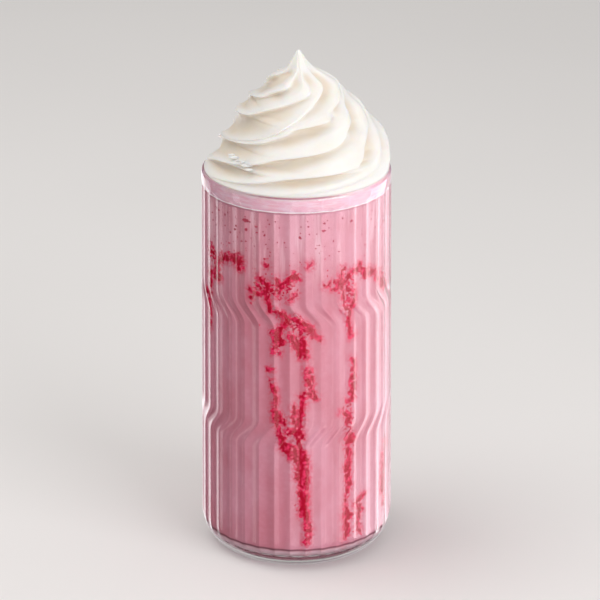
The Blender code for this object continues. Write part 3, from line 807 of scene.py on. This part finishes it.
def syrup_finish(settings):
    """Mulberry syrup: dark crimson where thick, brighter where it thins, and dull high on the wall."""
    finish = Finish("mulberry_syrup")
    thick = finish.between(finish.attribute("thickness"), 0.05, 0.8)
    mottle = finish.noise(0.0016, 2.0, (1.0, 1.0, 0.7))
    high = finish.between(finish.height(), *DULL_SYRUP)
    share = finish.clamp(thick * 0.90 + (finish.between(mottle, 0.36, 0.60) - 0.5) * 0.8 + 0.20)
    body = finish.mix(share, settings.thin_syrup, settings.syrup)
    return finish.finish({
        "Base Color": finish.mix(high * 0.7, body, HIGH_SYRUP),
        "Roughness": 0.35,
        "Specular IOR Level": 0.12,
    })


# ---- drink

def drink_mesh():
    profile = [(0.0, DRINK_LEVEL)] + glass_inside(DRINK_LEVEL, DRINK_ROWS, REACH)
    return turn(profile, DRINK_COLUMNS, FIRST_CREST)


def sample(across, up, field, s, z):
    """Read a field between its points."""
    i = np.clip((s - across[0]) / FIELD_STEP, 0, len(across) - 1.001)
    j = np.clip((z - up[0]) / FIELD_STEP, 0, len(up) - 1.001)
    i0, j0 = i.astype(int), j.astype(int)
    fi, fj = i - i0, j - j0
    low = field[i0, j0] * (1 - fi) + field[i0 + 1, j0] * fi
    high = field[i0, j0 + 1] * (1 - fi) + field[i0 + 1, j0 + 1] * fi
    return low * (1 - fj) + high * fj


def stain_of(mesh_edit, across, up, streaks, faint):
    """How strongly the syrup colours the drink at each of its points."""
    x, y, z = places_of(mesh_edit).T
    angle = np.degrees(np.arctan2(y, x)) + 90.0
    s = wall_arc((angle - SEAM_ANGLE) % 360.0 + SEAM_ANGLE)
    strength, start, span = NEAR_STAIN
    near = np.exp(-np.maximum(sample(across, up, streaks, s, z / MM) - start, 0.0) / span) * strength
    strength, start, span = SOFT_STAIN
    soft = strength * smooth_step((start - sample(across, up, faint, s, z / MM)) / span)
    return np.maximum(near, soft)


def milk_finish(settings, glass):
    """Thick pink milkshake: faint clouds, milky drips, stained beside the syrup, shaded by the flutes."""
    finish = Finish("pink_milkshake")
    clouds = finish.between(finish.noise(0.020, 3.0, (1.0, 1.0, 0.6)), 0.35, 0.68)
    grain = finish.between(finish.noise(0.0016, 3.0), 0.40, 0.72)
    body = finish.mix(clouds * 0.6 + grain * 0.18, settings.pink, settings.pale)
    lace = finish.between(finish.noise(0.0013, 5.0, roughness=0.7), 0.40, 0.60)
    height = finish.height()
    # Painted light: the drink's foot is made paler, standing in for light that comes through the base
    body = finish.mix(1.0 - finish.between(height, *FOOT_LIGHT_HEIGHTS), body, PAINTED_FOOT_LIGHT)
    drips = finish.between(finish.noise(0.0022, 3.0, (1.0, 1.0, 0.07)), 0.50, 0.68)
    body = finish.mix((drips * 0.75 + 0.25) * finish.between(height, *DRIP_HEIGHTS), body, MILKY_DRIPS)
    # Painted shade: a thin dark line along the drink's foot
    foot_shade = finish.between(height, *FOOT_SHADE_START) - finish.between(height, *FOOT_SHADE_END)
    body = finish.mix(foot_shade * 0.8, body, FOOT_SHADE_LINE)
    stain = finish.attribute("stain") * (lace * 0.95 + 0.30)
    body = finish.mix(finish.between(stain, 0.08, 0.80) * 0.9, body, settings.stain)
    body = finish.mix(finish.between(stain, 0.70, 1.15) * 0.9, body, settings.thin_syrup)
    return finish.finish({
        "Base Color": body,
        "Roughness": 0.45,
        "Specular IOR Level": 0.10,
        "Normal": finish.bump(finish.ribs(glass.flutes, glass.crest_round), 1.0, glass.flute_depth * 1.3),
    })


def foam_mesh():
    """The thin line of foam where the drink meets the cream at the wall."""
    radius = inner_radius(DRINK_LEVEL) + REACH
    ring = arc(radius, DRINK_LEVEL + FOAM_LIFT, FOAM_RADIUS, FOAM_RADIUS, 0.0, 360.0, 8)
    mesh_edit = turn(ring, FOAM_COLUMNS)
    places = places_of(mesh_edit)
    for place in places:
        angle = math.atan2(place[1], place[0])
        wave = noise.noise(Vector((5.0 * math.cos(angle), 5.0 * math.sin(angle), 2.0)))
        ripple = noise.noise(Vector((22.0 * math.cos(angle), 22.0 * math.sin(angle), 7.0)))
        place[2] += FOAM_WAVE * wave + FOAM_RIPPLE * ripple
    put(mesh_edit, places)
    return mesh_edit


def foam_finish():
    finish = Finish("pink_foam")
    specks = finish.between(finish.noise(0.0009, 3.0), 0.35, 0.65)
    return finish.finish({
        "Base Color": finish.mix(specks, FOAM_PINK, FOAM_WHITE),
        "Roughness": 0.5,
        "Specular IOR Level": 0.2,
    })


# ---- cream

def valley_hollow(across):
    """How far the surface lies under the ridges across the valley between two of them."""
    return np.sin(math.pi * np.clip(across, 0.0, 1.0) ** VALLEY_SKEW) ** VALLEY_CURVE


def cream_outline(height):
    """The radius to the crests and the lean at heights above the cream's foot."""
    places, radii, leans = zip(*CREAM_OUTLINE)
    return smooth_curve(places, radii)(height), smooth_curve(places, leans)(height)


def ridge_lines(heights):
    """The middle and the half width of each ridge over the heights, in radians, and the first one again."""
    middles, widths = [], []
    for ridge in RIDGES:
        places, angles, halves = zip(*ridge)
        middles.append(np.radians(smooth_curve(np.array(places) * MM, angles)(heights)))
        widths.append(np.radians(smooth_curve(np.array(places) * MM, halves)(heights)))
    middles.append(middles[0] + math.tau)
    widths.append(widths[0])
    return np.array(middles), np.array(widths)


def cream_mesh(settings, ridge_steps=6, valley_steps=18, rows=230):
    """A grid wrapped round the swirl: its columns follow the ridges and its rows climb to the peak."""
    steps = ridge_steps + valley_steps
    mesh_edit, column, row = flat_grid(len(RIDGES) * steps, rows)
    heights = np.linspace(0.0, PEAK_HEIGHT - CREAM_FOOT, rows + 1)
    outline, lean = cream_outline(heights)
    middles, widths = ridge_lines(heights)
    starts, ends = middles[:-1] + widths[:-1], middles[1:] - widths[1:]
    ends = np.maximum(ends, starts + 0.01)
    rates = np.gradient(middles, heights, axis=1)
    rates = (rates[:-1] + rates[1:]) / 2
    spacing = (ends - starts) / np.hypot(rates, 1.0 / outline)
    low, high, kept = PEAK_FADE
    fade = smooth_step((heights - VALLEY_FOOT) / VALLEY_RISE)
    peak = 1.0 - (1.0 - kept) * smooth_step((heights - low) / (high - low))
    depths = np.minimum(VALLEY_DEPTH, STEEPEST * spacing) * peak * np.array(VALLEY_SHARES)[:, None]

    roll, step = (column % (len(RIDGES) * steps)) // steps, column % steps
    on_ridge = step < ridge_steps
    along = np.where(on_ridge, step / ridge_steps, (step - ridge_steps) / valley_steps)
    left, right, end = middles[roll, row] - widths[roll, row], starts[roll, row], ends[roll, row]
    angle = np.where(on_ridge, left + (right - left) * along, right + (end - right) * along)
    hollow = np.where(on_ridge, 0.0, depths[roll, row] * valley_hollow(along))
    # How deep each point lies in its valley, which the material turns into painted shade
    shade_depth = hollow * fade[row] / VALLEY_DEPTH
    bulge = np.where(on_ridge, RIDGE_ROUND * (2.0 * along - 1.0) ** 2, RIDGE_ROUND)
    hollow = (hollow + bulge * np.minimum(1.0, outline[row] / ROUND_FROM)) * fade[row]
    height = heights[row]
    held = height < CREAM_OUTLINE[0][0]
    radius = np.where(held, inner_radius(CREAM_FOOT + height) + REACH, outline[row]) - hollow
    for lump_angle, lump_height, size, push in LUMPS:
        turned = (angle - math.radians(lump_angle) + math.pi) % math.tau - math.pi
        far = np.hypot(turned * radius, height - lump_height * MM) / (size * MM)
        radius = radius + push * MM * np.exp(-far * far)
    places = around(radius, angle, CREAM_FOOT + height)
    places[:, 0] += lean[row]
    places[:, 2] -= np.where(row == 0, FOOT_SINK, 0.0)
    soft = np.minimum(fade[row], smooth_step((CREAM_OUTLINE[-1][0] - height) / SOFT_PEAK))
    for place, share, turn_angle in zip(places, soft, angle):
        if share > 0.0:
            lump = noise.noise(Vector(place) / SOFT_GRAIN) + 0.30 * noise.noise(Vector(place) / FINE_GRAIN)
            push = settings.lumps * share * lump
            place += push * np.array((math.cos(turn_angle), math.sin(turn_angle), 0.3))
    put(mesh_edit, places)
    store(mesh_edit, "crease_shade", shade_depth)
    weld(mesh_edit)
    open_edges = [edge for edge in mesh_edit.edges if edge.is_boundary]
    bmesh.ops.holes_fill(mesh_edit, edges=open_edges, sides=0)
    return mesh_edit


def cream_finish(settings):
    """Whipped cream: satin white, warm painted shade in its creases, stained pink where the glass holds it.
    """
    finish = Finish("whipped_cream")
    patches = finish.between(finish.noise(0.009, 3.0), 0.35, 0.70)
    # Painted shade: deep in the creases the colour turns darker and warmer, standing in for the shade there
    shade_depth = finish.between(finish.attribute("crease_shade"), 0.10, 0.85)
    body = finish.mix(finish.clamp(shade_depth * 0.72 + patches * 0.14), settings.white, settings.painted_crease_shade)
    height = finish.height()
    below = 1.0 - finish.between(height, GLASS_HEIGHT - 0.0018, GLASS_HEIGHT - 0.0008)
    swirls = finish.noise(0.0065, 5.0, (1.0, 1.0, 7.0), 0.7)
    milky = finish.mix(finish.between(swirls, 0.40, 0.64), settings.film, MILKY_FILM)
    level = DRINK_LEVEL + FOAM_LIFT
    above_drink = finish.between(height, level - 0.0002, level + 0.0001)
    milky = finish.mix(1.0 - above_drink, milky, DRINK_EDGE)
    shadow = finish.between(height, GLASS_HEIGHT - 0.0013, GLASS_HEIGHT - 0.0011)
    shadow = shadow - finish.between(height, GLASS_HEIGHT - 0.0009, GLASS_HEIGHT - 0.0007)
    pores = finish.noise(0.0012, 3.0)
    return finish.finish({
        "Base Color": finish.mix(shadow * 0.8, finish.mix(below, body, milky), RIM_SHADOW),
        "Roughness": 0.42,
        "Specular IOR Level": 0.35,
        "Subsurface Weight": 0.6,
        "Subsurface Radius": (1.0, 0.75, 0.50),
        "Subsurface Scale": 0.0040,
        "Normal": finish.bump(pores, 0.10, 0.0002),
    })


def flecks_mesh():
    """A few crumbs of cream left on the lowest roll at the front left."""
    draw = random.Random(5)
    mesh_edit = bmesh.new()
    for angle, height, size in FLECKS:
        made = bmesh.ops.create_icosphere(mesh_edit, subdivisions=3, radius=size * MM * 0.5)
        turned = math.radians(angle - 90.0)
        radius, lean = cream_outline(height)
        radius -= FLECK_SINK
        middle = Vector((lean + radius * math.cos(turned), radius * math.sin(turned), CREAM_FOOT + height))
        stretch = draw.uniform(1.3, 2.1)
        for vert in made["verts"]:
            rough = 1.0 + 0.35 * noise.noise(vert.co * 2200.0 + Vector((angle, 0.0, 0.0)))
            vert.co = Vector((vert.co.x * stretch, vert.co.y, vert.co.z * 0.55)) * rough + middle
    return mesh_edit


# ---- stage

def floor_finish():
    finish = Finish("pale_table")
    grain = finish.noise(0.35, 2.0)
    return finish.finish({
        "Base Color": finish.mix(grain, (0.80, 0.79, 0.79), (0.86, 0.85, 0.85)),
        "Roughness": 0.6,
        "Specular IOR Level": 0.0,
    })


def add_light(name, azimuth, elevation, distance, size, power, color, height=None):
    """A soft light aimed at the middle of the glass, square unless it is given a height."""
    light = bpy.data.lights.new(name, "AREA")
    light.shape = "RECTANGLE"
    light.size = size
    light.size_y = height or size
    light.energy = power
    light.color = color
    lamp = add_object(name, light)
    turned, raised = math.radians(azimuth - 90.0), math.radians(elevation)
    middle = Vector((0.0, 0.0, LIGHT_AIM))
    lamp.location = middle + distance * Vector((math.cos(raised) * math.cos(turned),
                                                math.cos(raised) * math.sin(turned), math.sin(raised)))
    lamp.rotation_euler = (lamp.location - middle).to_track_quat("Z", "Y").to_euler()
    return lamp


def add_world():
    world = bpy.data.worlds.new("pale_room")
    world.use_nodes = True
    background = world.node_tree.nodes["Background"]
    background.inputs["Color"].default_value = ROOM_COLOR
    background.inputs["Strength"].default_value = ROOM_STRENGTH
    bpy.context.scene.world = world
    world.cycles_visibility.glossy = False


def add_floor():
    mesh_edit = bmesh.new()
    bmesh.ops.create_grid(mesh_edit, x_segments=2, y_segments=2, size=4.0)
    floor = add_mesh("table", mesh_edit, floor_finish())
    floor.visible_glossy = False


def add_camera(settings):
    camera = add_object("camera", bpy.data.cameras.new("camera"))
    camera.data.lens = settings.lens
    camera.data.clip_start = 0.05
    raised = settings.elevation
    aim = Vector((settings.aim_side, 0.0, settings.aim_height))
    camera.location = aim + settings.distance * Vector((0.0, -math.cos(raised), math.sin(raised)))
    camera.rotation_euler = (math.pi / 2 - raised, 0.0, 0.0)
    bpy.context.scene.camera = camera


# ---- operators

class SHAKE_OT_glass(bpy.types.Operator):
    """Model the ribbed tumbler"""

    bl_idname = "shake.glass"
    bl_label = "Tumbler"

    def execute(self, context):
        settings = context.scene.shake_glass
        piece = make_piece("ribbed_tumbler", glass_mesh(settings), clear_glass(settings),
                           "glass", sharp=60.0)
        piece.visible_shadow = False
        return {"FINISHED"}


class SHAKE_OT_drink(bpy.types.Operator):
    """Fill the tumbler with milkshake, with syrup run down its wall and foam at its level"""

    bl_idname = "shake.drink"
    bl_label = "Drink and syrup"

    def execute(self, context):
        settings = context.scene.shake_drink
        across, up, streaks = stroke_field(with_back(STREAKS))
        faint = stroke_field(with_back(FAINT))[2]
        seeds = stroke_field(seed_strokes(settings))[2]
        lace = ragged(across, up, streaks, faint, seeds)
        drink = drink_mesh()
        store(drink, "stain", stain_of(drink, across, up, streaks, faint))
        make_piece("pink_milkshake", drink, milk_finish(settings, context.scene.shake_glass),
                   "milkshake")
        film = syrup_mesh(across, up, lace)
        if not film.faces:
            raise RuntimeError("the syrup has no strokes to follow")
        thicken(film)
        make_piece("mulberry_syrup", film, syrup_finish(settings))
        make_piece("foam_line", foam_mesh(), foam_finish())
        return {"FINISHED"}


class SHAKE_OT_cream(bpy.types.Operator):
    """Pipe the whipped cream and drop its crumbs"""

    bl_idname = "shake.cream"
    bl_label = "Whipped cream"

    def execute(self, context):
        settings = context.scene.shake_cream
        finish = cream_finish(settings)
        make_piece("cream_swirl", cream_mesh(settings), finish, "whipped_cream",
                   sharp=75.0)
        make_piece("cream_flecks", flecks_mesh(), finish)
        return {"FINISHED"}


class SHAKE_OT_stage(bpy.types.Operator):
    """Set the table, the lights and the camera"""

    bl_idname = "shake.stage"
    bl_label = "Stage"

    def execute(self, context):
        settings = context.scene.shake_stage
        add_floor()
        add_world()
        add_light("key", 44.0, 20.0, LIGHT_DISTANCE, 0.6, settings.key, (1.0, 0.985, 0.985))
        fill = add_light("fill", -95.0, 62.0, 1.0, 0.8, settings.key * 0.92, (1.0, 0.98, 0.96))
        fill.visible_glossy = False
        for name, azimuth, elevation, width, height, share, color in REFLECTORS:
            panel = add_light(name, azimuth, elevation, LIGHT_DISTANCE, width, settings.key * share, color,
                              height)
            panel.visible_camera = panel.visible_diffuse = panel.visible_transmission = False
        add_camera(settings)
        context.scene.view_settings.view_transform = "Standard"
        return {"FINISHED"}


class SHAKE_PT_panel(bpy.types.Panel):
    """Lists the pieces and their settings"""

    bl_label = "Milkshake"
    bl_idname = "SHAKE_PT_panel"
    bl_space_type = "VIEW_3D"
    bl_region_type = "UI"
    bl_category = "Milkshake"

    def draw(self, context):
        for group in SETTINGS:
            settings = getattr(context.scene, group)
            box = self.layout.box()
            box.operator(group.replace("_", "."))
            for name in settings.__annotations__:
                box.prop(settings, name)


SETTINGS = {"shake_glass": GlassSettings, "shake_drink": DrinkSettings, "shake_cream": CreamSettings,
            "shake_stage": StageSettings}
CLASSES = (*SETTINGS.values(), SHAKE_OT_glass, SHAKE_OT_drink, SHAKE_OT_cream, SHAKE_OT_stage,
           SHAKE_PT_panel)


def register():
    for item in CLASSES:
        bpy.utils.register_class(item)
    for name, group in SETTINGS.items():
        setattr(bpy.types.Scene, name, PointerProperty(type=group))


def unregister():
    for name in SETTINGS:
        delattr(bpy.types.Scene, name)
    for item in reversed(CLASSES):
        bpy.utils.unregister_class(item)


def main():
    register()
    bpy.ops.shake.stage()
    bpy.ops.shake.glass()
    bpy.ops.shake.drink()
    bpy.ops.shake.cream()


if __name__ == "__main__":
    main()
